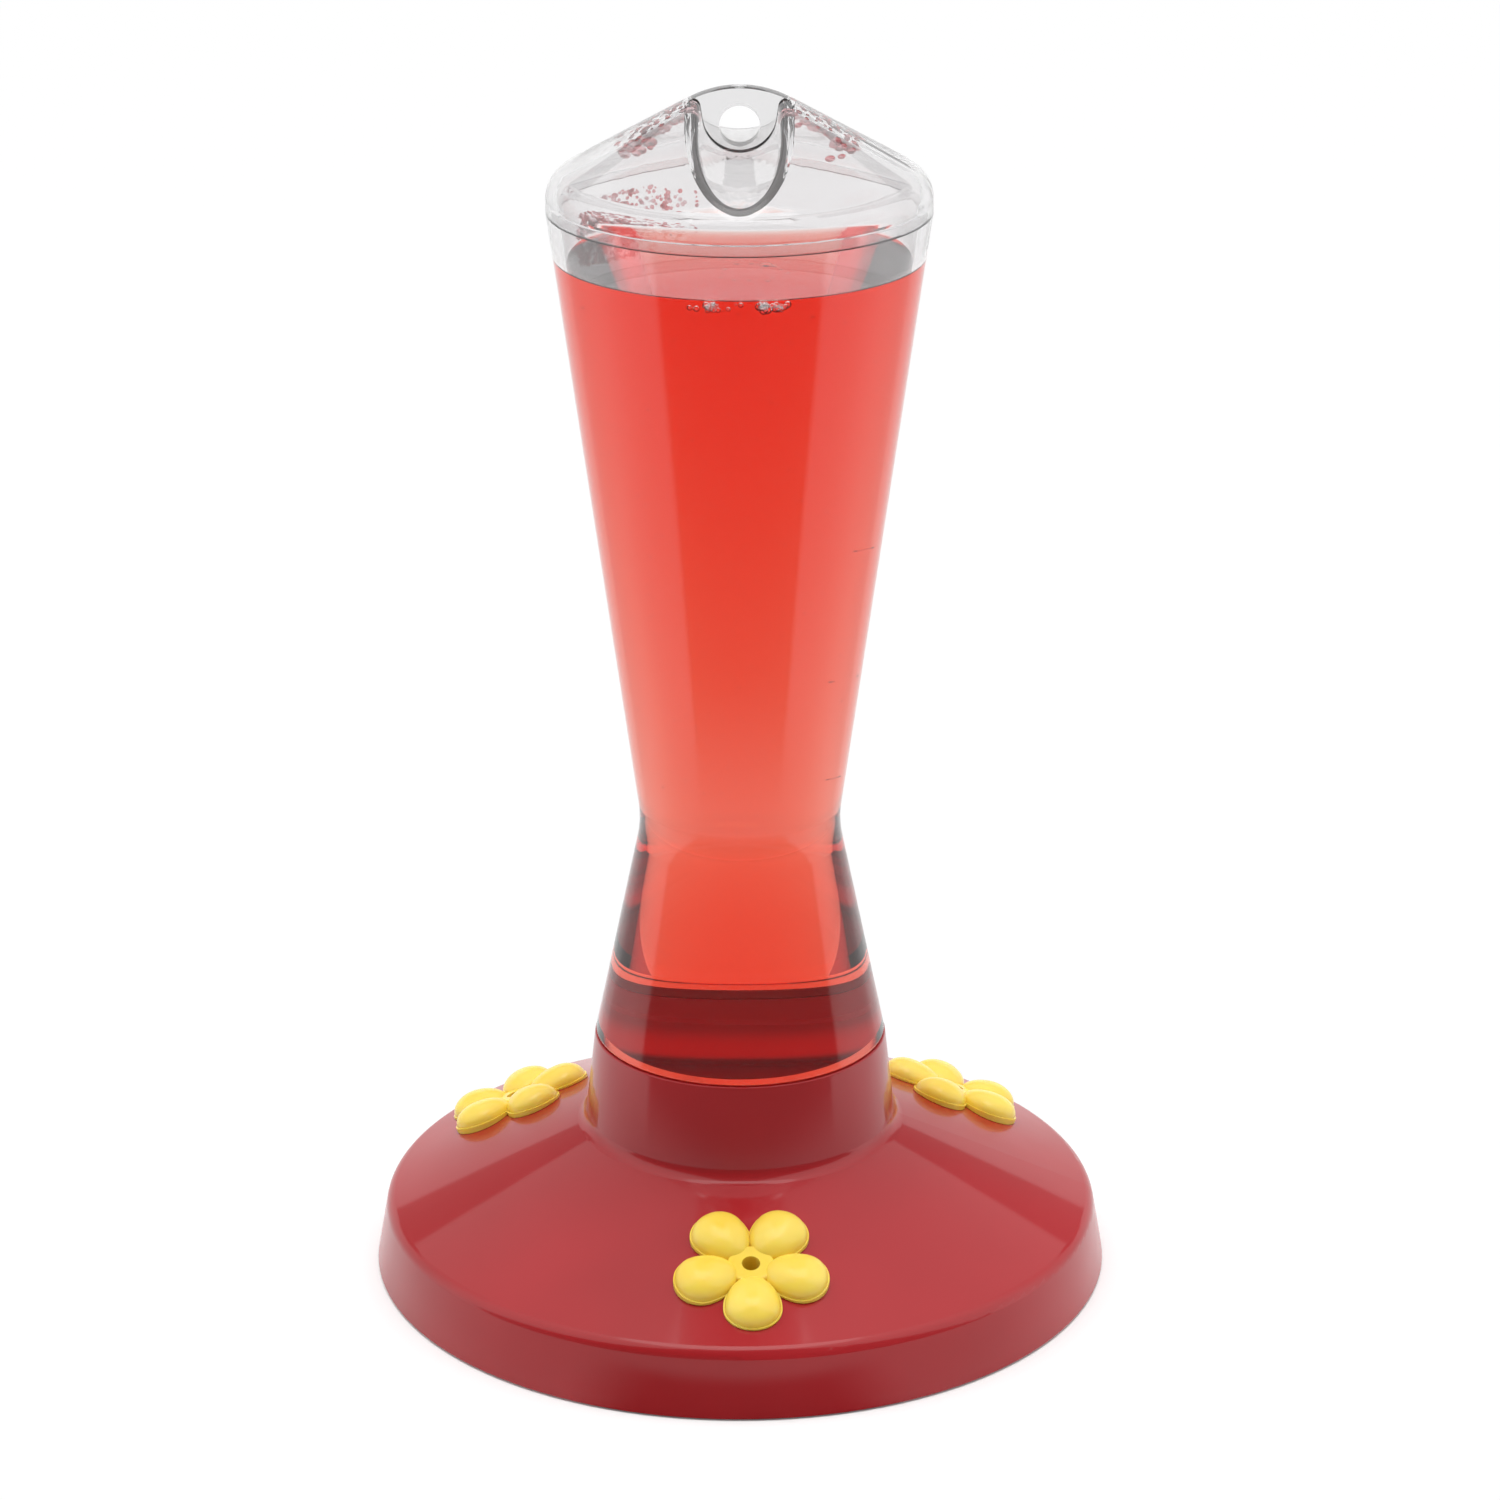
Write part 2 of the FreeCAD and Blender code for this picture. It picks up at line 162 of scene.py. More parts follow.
bottle = {
    "wall": 2.0, "neckRadius": 21.3, "neckBore": 19.8, "shoulderHeight": 41.5, "heelRadius": 24.5,
    "waistRadius": 16.5, "waistHeight": 79.5, "waistRounding": 18.0, "seamRadius": 30.9, "seamHeight": 183.5,
    "neckShort": 0.2,
}
nectar = {
    "foot": 28.6, "level": 175.9, "climb": 0.4, "climbWidth": 1.2, "climbSteps": 12, "climbCurve": 2.5,
    "heelRounding": 4.0, "play": 0.03, "segments": 256,
}


# materials

redLook = {
    "colour": (0.385, 0.010, 0.015), "deep": (0.33, 0.007, 0.010), "roughness": 0.38, "hazeLow": 0.03,
    "hazeHigh": 0.04, "shine": 0.22, "coat": 0.6, "coatRoughness": 0.05,
}
# painted light: a red glow painted into the collar's bore, its colour, strengths and zone
paintedBoreGlow = {  # radii and heights in mm
    "colour": (0.62, 0.022, 0.032), "low": 0.55, "high": 0.22, "near": 20.5, "far": 23.2,
    "foot": (27.5, 29.0), "fade": (34.5, 30.5), "top": 39.4,
}
yellowLook = {
    "colour": (0.88, 0.64, 0.075), "pale": (0.90, 0.70, 0.12), "roughness": 0.25,
    "soft": 0.25, "softRadius": (1.0, 0.6, 0.1), "softDepth": 1.2,
}
clearLook = {
    "tint": (0.925, 0.92, 0.925), "pale": (0.94, 0.935, 0.94), "ior": 1.53, "clearness": 0.945, "coat": 0.0,
}
wetLook = {
    "tint": (0.97, 0.965, 0.97), "pale": (0.98, 0.975, 0.98), "ior": 1.35, "clearness": 0.985, "coat": 0.2,
}
nectarLook = {
    "tint": (1.0, 0.97, 0.96), "pale": (1.0, 1.0, 1.0), "ior": 1.35,
    "absorbs": (0.97, 0.305, 0.12), "density": 100.0,
}
foamLook = {
    "deep": (0.86, 0.22, 0.23), "pale": (0.96, 0.80, 0.82), "scale": 420, "roughness": 0.05,
    "clearness": 0.88, "ior": 1.30, "coat": 0.3,
}
sealLook = {"colour": (0.50, 0.50, 0.48), "deep": (0.425, 0.425, 0.408), "roughness": 0.7}
openFaces = "opensToAir"


def makeRed():
    material, tree, shader, output = newMaterial("redPlastic")
    cloud = objectNoise(tree, 22, 2)
    tone = ramp(tree, cloud.outputs["Fac"], [(0.35, redLook["deep"]), (0.65, redLook["colour"])])
    tree.links.new(tone.outputs["Color"], shader.inputs["Base Color"])
    haze = objectNoise(tree, 60, 3)
    rough = greyRamp(tree, haze.outputs["Fac"], redLook["roughness"] - redLook["hazeLow"],
                     redLook["roughness"] + redLook["hazeHigh"])
    tree.links.new(rough.outputs["Color"], shader.inputs["Roughness"])
    shader.inputs["IOR"].default_value = 1.5
    shader.inputs["Specular IOR Level"].default_value = redLook["shine"]
    shader.inputs["Coat Weight"].default_value = redLook["coat"]
    shader.inputs["Coat Roughness"].default_value = redLook["coatRoughness"]

    # painted light: the collar's bore glows red, most of it low down, standing in for light let through its thin
    # wall
    x, y, height = placeParts(tree)
    away = awayFromAxis(tree, x, y)
    inBore = calc(tree, "MULTIPLY", calc(tree, "LESS_THAN", away, paintedBoreGlow["far"] * mm),
                  calc(tree, "GREATER_THAN", away, paintedBoreGlow["near"] * mm))
    inCollar = calc(tree, "MULTIPLY", between(tree, height, *(z * mm for z in paintedBoreGlow["foot"])),
                    calc(tree, "LESS_THAN", height, paintedBoreGlow["top"] * mm))
    lower = between(tree, height, *(z * mm for z in paintedBoreGlow["fade"]))
    level = calc(tree, "MULTIPLY_ADD", lower, paintedBoreGlow["low"] - paintedBoreGlow["high"], paintedBoreGlow["high"])
    shader.inputs["Emission Color"].default_value = (*paintedBoreGlow["colour"], 1)
    tree.links.new(calc(tree, "MULTIPLY", calc(tree, "MULTIPLY", inBore, inCollar), level),
                   shader.inputs["Emission Strength"])
    wave = objectNoise(tree, 35, 1)
    addBump(tree, shader, wave.outputs["Fac"], 0.12, 0.0006)
    return material


def makeYellow():
    material, tree, shader, output = newMaterial("yellowPlastic")
    cloud = objectNoise(tree, 120, 2)
    tone = ramp(tree, cloud.outputs["Fac"], [(0.3, yellowLook["colour"]), (0.7, yellowLook["pale"])])
    tree.links.new(tone.outputs["Color"], shader.inputs["Base Color"])
    shader.inputs["Roughness"].default_value = yellowLook["roughness"]
    shader.inputs["IOR"].default_value = 1.5
    shader.inputs["Subsurface Weight"].default_value = yellowLook["soft"]
    shader.inputs["Subsurface Radius"].default_value = yellowLook["softRadius"]
    shader.inputs["Subsurface Scale"].default_value = yellowLook["softDepth"] * mm
    grain = objectNoise(tree, 900, 2)
    addBump(tree, shader, grain.outputs["Fac"], 0.08, 0.00005)
    return material


def clearShader(tree, look, shader):
    cloud = objectNoise(tree, 30, 2)
    tone = ramp(tree, cloud.outputs["Fac"], [(0.3, look["tint"]), (0.7, look["pale"])])
    tree.links.new(tone.outputs["Color"], shader.inputs["Base Color"])
    shader.inputs["Roughness"].default_value = 0.0
    shader.inputs["IOR"].default_value = look["ior"]
    shader.inputs["Transmission Weight"].default_value = look["clearness"]
    shader.inputs["Coat Weight"].default_value = look["coat"]
    shader.inputs["Coat Roughness"].default_value = 0.02
    wave = objectNoise(tree, 28, 1, stretch=(1, 1, 0.35))
    addBump(tree, shader, wave.outputs["Fac"], 0.05, 0.0008)


def makeClear():
    material, tree, shader, output = newMaterial("clearPlastic")
    clearShader(tree, clearLook, shader)
    return material


def makeBottle():
    # below the liquid's edge the outside bends light as the liquid does and the inside is one with it
    material, tree, dry, output = newMaterial("bottlePlastic")
    clearShader(tree, clearLook, dry)
    wet = tree.nodes.new("ShaderNodeBsdfPrincipled")
    clearShader(tree, wetLook, wet)
    x, y, height = placeParts(tree)
    away = awayFromAxis(tree, x, y)

    def middleLine(low, high):
        slope = (high[0] - low[0]) / (high[1] - low[1])
        return calc(tree, "MULTIPLY_ADD", height, slope, (low[0] - slope * low[1] - bottle["wall"] / 2) * mm)

    waist = (bottle["waistRadius"], bottle["waistHeight"])
    flare = middleLine((bottle["heelRadius"], bottle["shoulderHeight"]), waist)
    cone = middleLine(waist, (bottle["seamRadius"], bottle["seamHeight"]))
    neck = (bottle["neckRadius"] + bottle["neckBore"]) / 2 * mm
    middle = calc(tree, "MAXIMUM", calc(tree, "MINIMUM", flare, neck), cone)
    isWet = calc(tree, "LESS_THAN", height, (nectar["level"] + nectar["climb"]) * mm)
    isInner = calc(tree, "LESS_THAN", away, middle)

    # liquid in the thread's gap hides the neck's outside too, but only while it is down in the collar
    standing = tree.nodes.new("ShaderNodeNewGeometry")
    parts = tree.nodes.new("ShaderNodeSeparateXYZ")
    tree.links.new(standing.outputs["Position"], parts.inputs[0])
    isNeck = calc(tree, "LESS_THAN", parts.outputs["Z"], (bottle["shoulderHeight"] - bottle["neckShort"]) * mm)
    isJoined = calc(tree, "MAXIMUM", calc(tree, "MULTIPLY", isInner, isWet), isNeck)
    clear = tree.nodes.new("ShaderNodeBsdfTransparent")
    blend = mixShaders(tree, isJoined, mixShaders(tree, isWet, dry, wet), clear)
    tree.links.new(blend.outputs[0], output.inputs["Surface"])
    return material


def makeNectar():
    # refracts only where its faces are open to air; against the wall it is just colour
    material, tree, shader, output = newMaterial("nectarRed")
    cloud = objectNoise(tree, 20, 2)
    tone = ramp(tree, cloud.outputs["Fac"], [(0.3, nectarLook["tint"]), (0.7, nectarLook["pale"])])
    tree.links.new(tone.outputs["Color"], shader.inputs["Base Color"])
    shader.inputs["Roughness"].default_value = 0.0
    shader.inputs["IOR"].default_value = nectarLook["ior"]
    shader.inputs["Transmission Weight"].default_value = 1.0
    clear = addNode(tree, "ShaderNodeBsdfRefraction", {"Roughness": 0.0, "IOR": 1.0})
    openness = addNode(tree, "ShaderNodeAttribute", {"attribute_name": openFaces})
    blend = mixShaders(tree, openness.outputs["Fac"], clear, shader)
    tree.links.new(blend.outputs[0], output.inputs["Surface"])
    soak = addNode(tree, "ShaderNodeVolumeAbsorption")
    soak.inputs["Color"].default_value = (*nectarLook["absorbs"], 1)
    soak.inputs["Density"].default_value = nectarLook["density"]
    tree.links.new(soak.outputs["Volume"], output.inputs["Volume"])
    return material


def makeFoam():
    # drops are too small to soak up much light, so their colour is on their skin
    material, tree, shader, output = newMaterial("nectarFoam")
    cloud = objectNoise(tree, foamLook["scale"], 2)
    tone = ramp(tree, cloud.outputs["Fac"], [(0.38, foamLook["deep"]), (0.62, foamLook["pale"])])
    tree.links.new(tone.outputs["Color"], shader.inputs["Base Color"])
    shader.inputs["Roughness"].default_value = foamLook["roughness"]
    shader.inputs["IOR"].default_value = foamLook["ior"]
    shader.inputs["Transmission Weight"].default_value = foamLook["clearness"]
    shader.inputs["Coat Weight"].default_value = foamLook["coat"]
    return material


def makeSeal():
    material, tree, shader, output = newMaterial("sealRubber")
    cloud = objectNoise(tree, 80, 2)
    tone = ramp(tree, cloud.outputs["Fac"], [(0.3, sealLook["deep"]), (0.7, sealLook["colour"])])
    tree.links.new(tone.outputs["Color"], shader.inputs["Base Color"])
    shader.inputs["Roughness"].default_value = sealLook["roughness"]
    grain = objectNoise(tree, 1200, 2)
    addBump(tree, shader, grain.outputs["Fac"], 0.2, 0.00005)
    return material


redPlastic = makeRed()
yellowPlastic = makeYellow()
clearPlastic = makeClear()
bottlePlastic = makeBottle()
nectarRed = makeNectar()
nectarFoam = makeFoam()
sealRubber = makeSeal()
print("materials ready")


# the solids that stay, in their own materials

for name in ("base_cover", "base_tray"):
    dress(nodes[name], redPlastic)
for index in (1, 2, 3):
    dress(nodes["flower_port_%d" % index], yellowPlastic)
dress(nodes["neck_seal"], sealRubber)
dress(nodes["bottle_body"], bottlePlastic)
dress(nodes["hanger_cap"], clearPlastic)
dress(nodes["nectar_tray"], nectarRed)
print("solids dressed")


# nectar in the bottle: a hair inside the wall, with its edge climbing it

def roundedPath(corners, stepsPerArc=24):
    # (radius, height, rounding) corners turned into a list of points
    points = []
    for i, (r, z, rounding) in enumerate(corners):
        here = Vector((r, z))
        if rounding <= 0 or i in (0, len(corners) - 1):
            points.append(here)
            continue
        back = (Vector(corners[i - 1][:2]) - here).normalized()
        ahead = (Vector(corners[i + 1][:2]) - here).normalized()
        half = back.angle(ahead) / 2
        reach = rounding / math.tan(half)
        inward = (back + ahead).normalized()
        centre = here + inward * (rounding / math.sin(half))
        start = here + back * reach - centre
        end = here + ahead * reach - centre
        sweep = start.angle_signed(end)
        for step in range(stepsPerArc + 1):
            turn = Matrix.Rotation(-sweep * step / stepsPerArc, 2)
            points.append(centre + turn @ start)
    return points


def spin(form, path, segments):
    # surface of revolution; points on the axis become a single vertex
    rings = []
    for point in path:
        radius, height = point[0] * mm, point[1] * mm
        if radius < 1e-6:
            rings.append([form.verts.new((0, 0, height))])
            continue
        rings.append([form.verts.new((radius * math.cos(2 * math.pi * k / segments),
                                      radius * math.sin(2 * math.pi * k / segments), height))
                      for k in range(segments)])
    for low, high in zip(rings, rings[1:]):
        for k in range(segments):
            after = (k + 1) % segments
            corners = [low[k % len(low)], low[after % len(low)], high[after % len(high)], high[k % len(high)]]
            unique = []
            for vert in corners:
                if vert not in unique:
                    unique.append(vert)
            if len(unique) > 2:
                form.faces.new(unique)
    form.normal_update()
    for face in form.faces:
        face.smooth = True
    for edge in form.edges:
        edge.smooth = edge.calc_face_angle(0) < 0.5


def onLine(height, low, high):
    share = (height - low[1]) / (high[1] - low[1])
    return low[0] + share * (high[0] - low[0])


def boreMeetsHeel():
    slope = (bottle["heelRadius"] - bottle["waistRadius"]) / (bottle["waistHeight"] - bottle["shoulderHeight"])
    return bottle["waistHeight"] - (bottle["neckBore"] - (bottle["waistRadius"] - bottle["wall"])) / slope


def innerWall(height):
    return onLine(height, (bottle["waistRadius"] - bottle["wall"], bottle["waistHeight"]),
                  (bottle["seamRadius"] - bottle["wall"], bottle["seamHeight"]))


def buildNectar(form):
    play = nectar["play"]
    bore = bottle["neckBore"] - play
    top = nectar["level"] + nectar["climb"]
    rim = innerWall(top) - play
    corners = [
        (0, nectar["foot"], 0),
        (bore, nectar["foot"], 0),
        (bore, boreMeetsHeel(), nectar["heelRounding"]),
        (bottle["waistRadius"] - bottle["wall"] - play, bottle["waistHeight"], bottle["waistRounding"]),
        (rim, top, 0),
    ]
    path = roundedPath(corners)
    for step in range(1, nectar["climbSteps"] + 1):
        share = step / nectar["climbSteps"]
        path.append(Vector((rim - nectar["climbWidth"] * share,
                            nectar["level"] + nectar["climb"] * (1 - share) ** nectar["climbCurve"])))
    path.append(Vector((0, nectar["level"])))
    spin(form, path, nectar["segments"])

    # the surface and the bubbles are open to air, the sides and foot aren't
    layer = form.faces.layers.float.new(openFaces)
    lowest = (nectar["level"] - 0.1) * mm
    for face in form.faces:
        face[layer] = float(face.normal.z > 0.2 and face.calc_center_median().z > lowest)
    made = len(form.faces)
    addBubbles(form)
    form.faces.ensure_lookup_table()
    for face in form.faces[made:]:
        face[layer] = 1.0


# bubbles and drops, in mm and degrees

bubbles = {
    "seed": 11, "skin": 0.03, "heaps": (-4.3, 4.6), "heapSpread": 1.7, "heapCount": 24,
    "heapRadii": (0.28, 0.85), "heapDepth": 1.0, "large": ((4.2, -3.4, 1.0), (5.4, -4.4, 0.55)),
    "ringCentre": (1.7, -9.0), "ringRadius": 5.2, "ringCount": 15, "ringRadii": (0.15, 0.38),
    "speckCount": 110, "speckRadii": (0.07, 0.17), "speckLow": 84.0, "speckHigh": 174.0,
}
drops = {
    "seed": 5, "count": 420, "radii": (0.2, 0.55), "from": 98.0, "to": 166.0, "low": 176.9, "rise": 4.6,
}
splashes = {"count": 90, "spread": 13.0, "near": 8.2, "far": 18.5, "radii": (0.3, 1.1), "sink": 0.55, "flat": 0.6}
roof = {"peak": 206.0, "slope": math.atan2(17.6, 30.9), "wall": 2.0}


def ballShape(detail):
    form = bmesh.new()
    bmesh.ops.create_icosphere(form, subdivisions=detail, radius=1)
    shape = [vert.co.copy() for vert in form.verts], [[vert.index for vert in face.verts] for face in form.faces]
    form.free()
    return shape


ballShapes = {detail: ballShape(detail) for detail in (2, 3)}


def addBall(form, place, radius, hollow, squash=1.0, detail=3):
    # a hollow one is air in the liquid, so its faces look inwards
    points, faces = ballShapes[detail]
    verts = [form.verts.new(((place[0] + radius * p.x) * mm, (place[1] + radius * p.y) * mm,
                             (place[2] + radius * squash * p.z) * mm)) for p in points]
    for face in faces:
        corners = [verts[i] for i in face]
        form.faces.new(reversed(corners) if hollow else corners).smooth = True


def onFrontWall(x, height, inset):
    away = innerWall(height) - inset
    return x, -math.sqrt(away ** 2 - x ** 2), height


def addBubbles(form):
    # air in the liquid: a loose ring and two heaps at the surface, specks along the wall
    chance = random.Random(bubbles["seed"])
    for step in range(bubbles["ringCount"]):
        turn = 2 * math.pi * (step + chance.uniform(-0.4, 0.4)) / bubbles["ringCount"]
        radius = chance.uniform(*bubbles["ringRadii"])
        reach = bubbles["ringRadius"] * chance.uniform(0.85, 1.15)
        x = bubbles["ringCentre"][0] + reach * math.cos(turn)
        y = bubbles["ringCentre"][1] + reach * math.sin(turn)
        addBall(form, (x, y, nectar["level"] - radius - bubbles["skin"]), radius, True)
    for heap in bubbles["heaps"]:
        for _ in range(bubbles["heapCount"]):
            radius = chance.uniform(*bubbles["heapRadii"]) * chance.uniform(0.5, 1.0)
            x = heap + chance.gauss(0, bubbles["heapSpread"])
            height = nectar["level"] - radius - bubbles["skin"] - chance.uniform(0, bubbles["heapDepth"]) ** 2
            addBall(form, onFrontWall(x, height, radius + 0.08), radius, True)
    for x, y, radius in bubbles["large"]:
        addBall(form, (x, y, nectar["level"] - radius - bubbles["skin"]), radius, True)
    for _ in range(bubbles["speckCount"]):
        turn = chance.uniform(0, 2 * math.pi)
        height = chance.uniform(bubbles["speckLow"], bubbles["speckHigh"])
        radius = chance.uniform(*bubbles["speckRadii"])
        away = innerWall(height) - radius - 0.1
        addBall(form, (away * math.cos(turn), away * math.sin(turn), height), radius, True, 0.8, 2)


def roofInside(away):
    return roof["peak"] - roof["wall"] / math.cos(roof["slope"]) - away * math.tan(roof["slope"])


def buildDrops(form):
    # splashes on the clear wall above the surface, thickest at the back left
    chance = random.Random(drops["seed"])
    for _ in range(drops["count"]):
        share = chance.betavariate(2.2, 1.3)
        turn = math.radians(drops["from"] + share * (drops["to"] - drops["from"]))
        rise = drops["rise"] * chance.random() ** 1.6
        height = drops["low"] + rise * (0.35 + 0.65 * math.sin(math.pi * share) ** 0.7)
        radius = chance.uniform(*drops["radii"]) * chance.uniform(0.5, 1.0)
        away = innerWall(height) - radius * 0.8
        addBall(form, (away * math.cos(turn), away * math.sin(turn), height), radius, False, 1.0, 2)

    # and trapped under the roof, beside the two hollows
    for side in (0, 180):
        for _ in range(splashes["count"]):
            turn = math.radians(side + chance.gauss(0, splashes["spread"]))
            away = chance.uniform(splashes["near"], splashes["far"])
            radius = chance.uniform(*splashes["radii"])
            height = roofInside(away) - radius * splashes["sink"]
            addBall(form, (away * math.cos(turn), away * math.sin(turn), height), radius, False, splashes["flat"], 2)


def addPiece(name, build, material, replaced=None):
    piece = meshObject(name, build)
    dress(piece, material)
    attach(piece, "bottle")
    if replaced:
        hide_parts(replaced)


addPiece("nectar_body", buildNectar, nectarRed, "nectar")
addPiece("wall_drops", buildDrops, nectarFoam)
print("nectar, bubbles and drops ready")


# floor, light and camera

floorLook = {
    "size": 4.0, "pale": (0.86, 0.86, 0.86), "colour": (0.87, 0.87, 0.87), "litFrom": 0.066, "litFull": 0.080,
    "near": 0.10, "far": 0.95, "inGlass": 0.6, "whiteFrom": 0.125, "whiteTo": 0.185,
    # the last two place the painted dark reflection: where gloss sees the floor drawn black
    "glossDarkSpread": (0.70, 0.30), "glossDarkReach": (0.12, 0.10),
}


def viewRay(tree):
    # 1 for what the camera sees directly, in gloss or through glass
    path = tree.nodes.new("ShaderNodeLightPath")
    seen = calc(tree, "MAXIMUM", path.outputs["Is Camera Ray"], path.outputs["Is Glossy Ray"])
    return calc(tree, "MAXIMUM", seen, path.outputs["Is Transmission Ray"])


def makeFloorLook():
    # pale everywhere; close to the base it keeps its shadow, further out it goes to white
    material, tree, shader, output = newMaterial("paleFloor")
    cloud = objectNoise(tree, 3, 2)
    tone = ramp(tree, cloud.outputs["Fac"], [(0.3, floorLook["pale"]), (0.7, floorLook["colour"])])
    tree.links.new(tone.outputs["Color"], shader.inputs["Base Color"])
    shader.inputs["Roughness"].default_value = 0.9
    shader.inputs["Specular IOR Level"].default_value = 0.0
    place = tree.nodes.new("ShaderNodeTexCoord")
    away = addNode(tree, "ShaderNodeVectorMath", {"operation": "LENGTH"})
    tree.links.new(place.outputs["Object"], away.inputs[0])
    lit = between(tree, away.outputs["Value"], floorLook["litFrom"], floorLook["litFull"])
    path = tree.nodes.new("ShaderNodeLightPath")
    inGlass = calc(tree, "MULTIPLY", path.outputs["Is Transmission Ray"], floorLook["inGlass"])
    share = calc(tree, "MULTIPLY_ADD", lit, floorLook["far"] - floorLook["near"], floorLook["near"])
    share = calc(tree, "MAXIMUM", share, inGlass)

    # painted reflection: in gloss only, the floor close in front is drawn black, as dark as the room there
    x, y, height = placeParts(tree)
    ahead = calc(tree, "MAXIMUM", calc(tree, "MULTIPLY", y, -1), 0.00001)
    aside = calc(tree, "DIVIDE", calc(tree, "ABSOLUTE", x), ahead)
    inFront = between(tree, aside, *floorLook["glossDarkSpread"])
    close = between(tree, away.outputs["Value"], *floorLook["glossDarkReach"])
    paintedGlossDark = calc(tree, "MULTIPLY", calc(tree, "MULTIPLY", inFront, close), path.outputs["Is Glossy Ray"])
    share = calc(tree, "MAXIMUM", share, paintedGlossDark)
    glow = tree.nodes.new("ShaderNodeEmission")
    tree.links.new(calc(tree, "SUBTRACT", 1, paintedGlossDark), glow.inputs["Strength"])
    blend = mixShaders(tree, calc(tree, "MULTIPLY", share, viewRay(tree)), shader, glow)

    # in gloss the floor ends a little way out and the room shows below it
    beyond = between(tree, away.outputs["Value"], floorLook["whiteFrom"], floorLook["whiteTo"])
    gone = calc(tree, "MULTIPLY", beyond, path.outputs["Is Glossy Ray"])
    through = tree.nodes.new("ShaderNodeBsdfTransparent")
    ends = mixShaders(tree, gone, blend, through)
    tree.links.new(ends.outputs[0], output.inputs["Surface"])
    return material


def buildFloor(form):
    half = floorLook["size"] / 2
    corners = ((-half, -half, 0), (half, -half, 0), (half, half, 0), (-half, half, 0))
    form.faces.new([form.verts.new(corner) for corner in corners])


# what the room looks like in each direction: levels of light, and heights and widths on the unit sphere
room = {
    "front": 0.14, "frontInGlass": 0.95, "walls": 1.35, "top": 3.0, "topZone": (0.93, 0.96),
    "backBox": 0.95, "boxTop": (0.99, 0.95), "gap": 0.12, "gapHigh": (0.505, 0.525), "gapLow": (0.37, 0.35),
    "gapDip": 0.09, "dipZone": (0.2, 0.1), "sideBack": 0.6, "sideBackZone": (0.1, 0.6),
    "edge": (0.06, 0.5, 1.75), "edgeZone": (-0.06, 0.06), "backZone": (-0.05, 0.05),
}


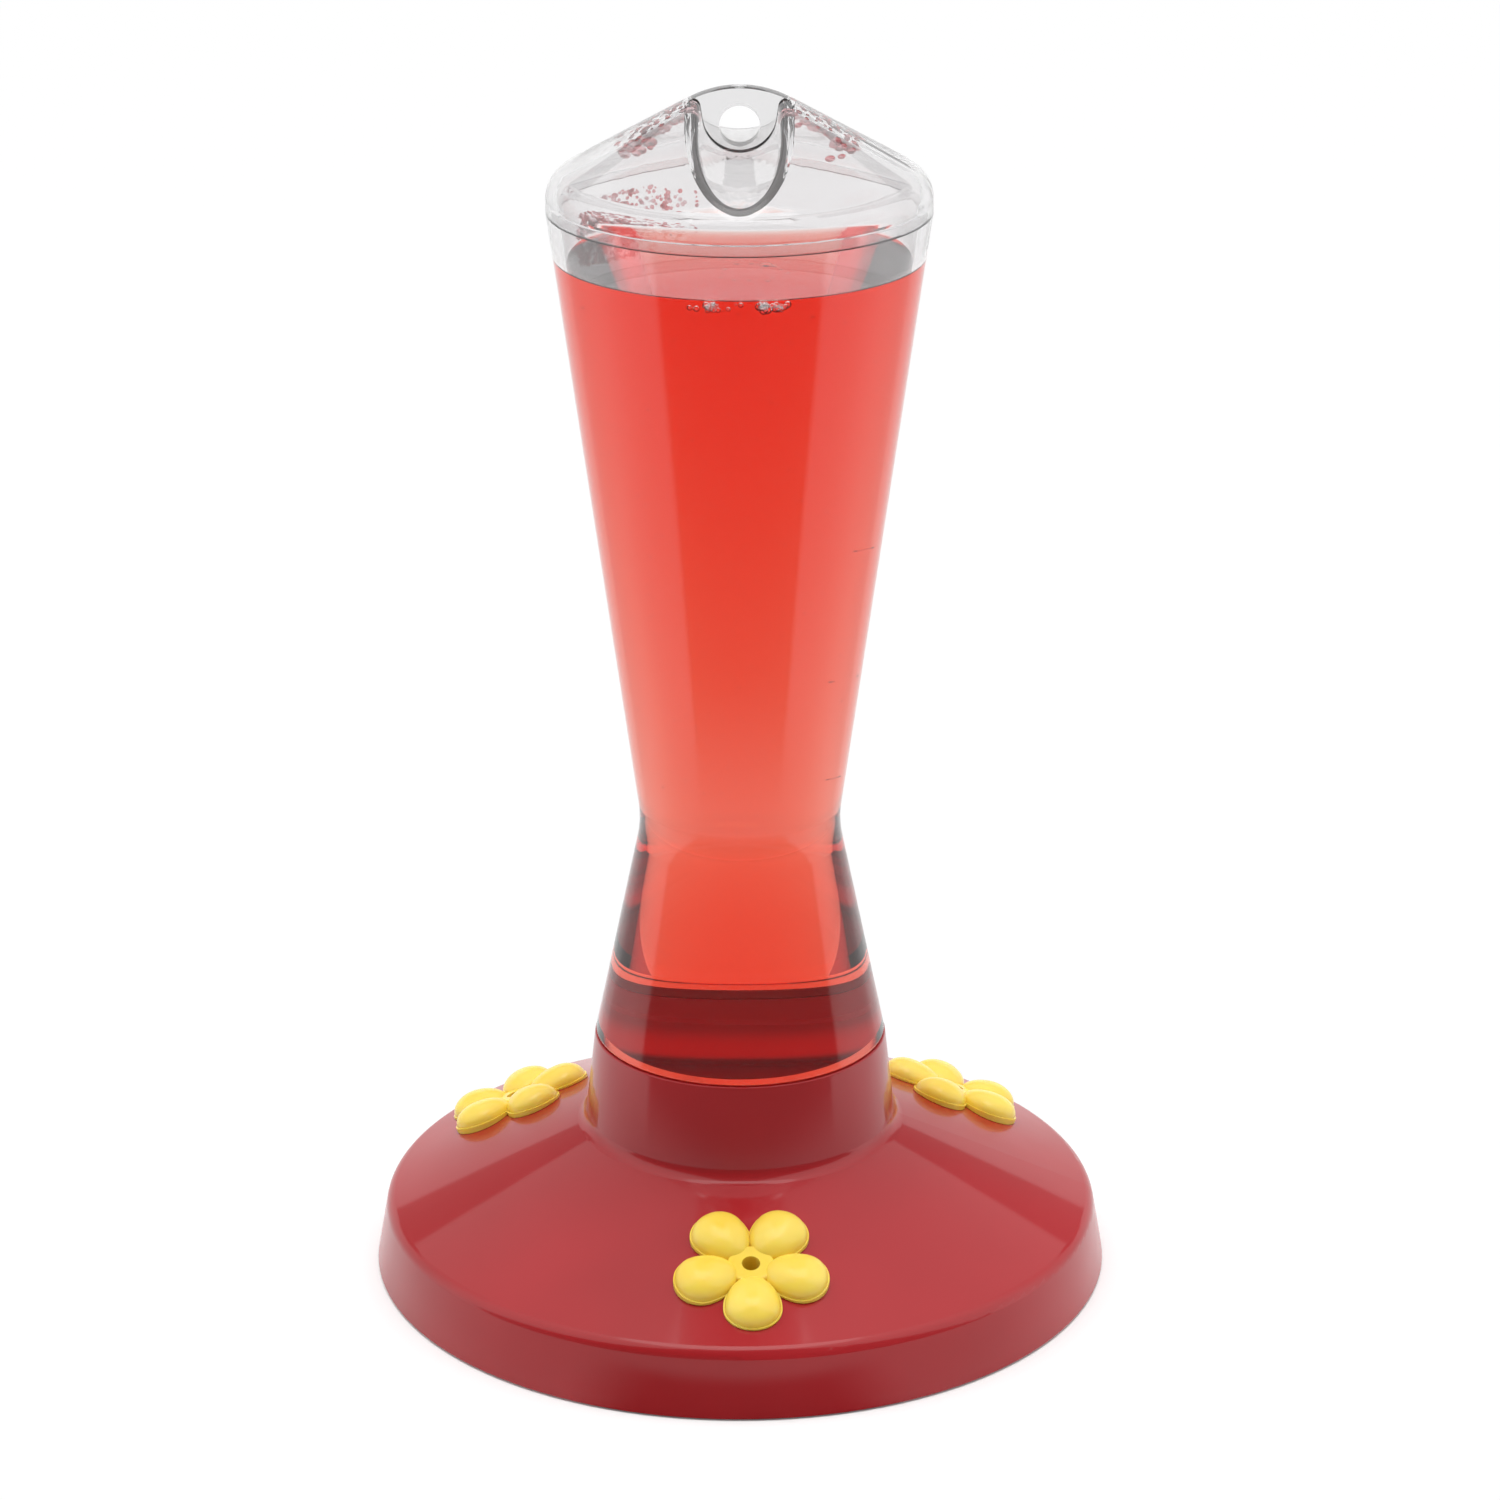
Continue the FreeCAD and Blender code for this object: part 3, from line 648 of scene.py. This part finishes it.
def makeWorld():
    # a dark front, bright walls at the sides and behind, a raised softbox behind; z is up
    world = bpy.data.worlds.new("studio")
    world.use_nodes = True
    tree = world.node_tree
    tree.nodes.clear()
    output = tree.nodes.new("ShaderNodeOutputWorld")
    place = tree.nodes.new("ShaderNodeTexCoord")
    parts = tree.nodes.new("ShaderNodeSeparateXYZ")
    tree.links.new(place.outputs["Generated"], parts.inputs[0])
    side = calc(tree, "ABSOLUTE", parts.outputs["X"])
    back = parts.outputs["Y"]
    height = parts.outputs["Z"]
    off = calc(tree, "ABSOLUTE", height)
    straight, slant, curve = room["edge"]
    lean = calc(tree, "MULTIPLY_ADD", calc(tree, "MULTIPLY_ADD", off, curve, slant), off, straight)
    edge = calc(tree, "MULTIPLY_ADD", lean, side, back)
    walls = between(tree, edge, *room["edgeZone"])
    behind = between(tree, calc(tree, "SUBTRACT", back, side), *room["backZone"])
    overGap = between(tree, height, *room["gapHigh"])
    dip = calc(tree, "MULTIPLY", between(tree, side, *room["dipZone"]), room["gapDip"])
    underGap = between(tree, calc(tree, "ADD", height, dip), *room["gapLow"])
    underTop = between(tree, height, *room["boxTop"])
    box = calc(tree, "MULTIPLY", overGap, underTop)
    shown = calc(tree, "MAXIMUM", box, underGap)
    level = calc(tree, "MULTIPLY_ADD", shown, room["backBox"] - room["gap"], room["gap"])
    fading = calc(tree, "MULTIPLY_ADD", between(tree, back, *room["sideBackZone"]), room["sideBack"] - 1, 1.0)
    wallLevel = calc(tree, "MULTIPLY", calc(tree, "MULTIPLY", underTop, room["walls"]), fading)
    mixed = calc(tree, "MULTIPLY_ADD", behind, calc(tree, "SUBTRACT", level, wallLevel), wallLevel)
    path = tree.nodes.new("ShaderNodeLightPath")
    lowest = calc(tree, "MULTIPLY_ADD", path.outputs["Is Transmission Ray"],
                  room["frontInGlass"] - room["front"], room["front"])
    top = calc(tree, "MULTIPLY", between(tree, height, *room["topZone"]), room["top"])
    strength = calc(tree, "MAXIMUM", calc(tree, "MAXIMUM", calc(tree, "MULTIPLY", walls, mixed), top), lowest)
    light = tree.nodes.new("ShaderNodeBackground")
    tree.links.new(strength, light.inputs["Strength"])
    white = tree.nodes.new("ShaderNodeBackground")
    for node in (light, white):
        node.inputs["Color"].default_value = (1, 1, 1, 1)
    blend = mixShaders(tree, path.outputs["Is Camera Ray"], light, white)
    tree.links.new(blend.outputs[0], output.inputs["Surface"])
    scene.world = world


overhead = {"place": (0.0, 0.06, 0.95), "aim": (0, 0, 0.05), "size": (0.55, 0.50), "power": 4.2}


def addOverhead():
    # a softbox that lights the object but isn't seen in gloss or through glass
    light = bpy.data.lights.new("softboxTop", "AREA")
    light.shape = "RECTANGLE"
    light.size, light.size_y = overhead["size"]
    light.energy = overhead["power"]
    obj = bpy.data.objects.new("softboxTop", light)
    obj.location = overhead["place"]
    aim = Vector(overhead["aim"]) - Vector(overhead["place"])
    obj.rotation_euler = aim.to_track_quat("-Z", "Y").to_euler()
    obj.visible_transmission = False
    obj.visible_glossy = False
    scene.collection.objects.link(obj)


# focal length in pixels of the frame, as solved from the outlines
view = {
    "place": (0.0, -0.7198, 0.3613), "down": 20.54, "right": 0.1325,
    "focal": 4627, "frame": 1500, "sensor": 36, "clipStart": 0.01,
}


def addCamera():
    data = bpy.data.cameras.new("camera")
    data.sensor_width = view["sensor"]
    data.lens = view["focal"] / view["frame"] * view["sensor"]
    data.clip_start = view["clipStart"]
    camera = bpy.data.objects.new("camera", data)
    camera.location = view["place"]
    camera.rotation_euler = (math.radians(90 - view["down"]), 0, math.radians(-view["right"]))
    scene.collection.objects.link(camera)
    scene.camera = camera


floor = meshObject("floor", buildFloor)
dress(floor, makeFloorLook())
makeWorld()
addOverhead()
addCamera()
scene.view_settings.view_transform = "Standard"
print("floor, light and camera ready")
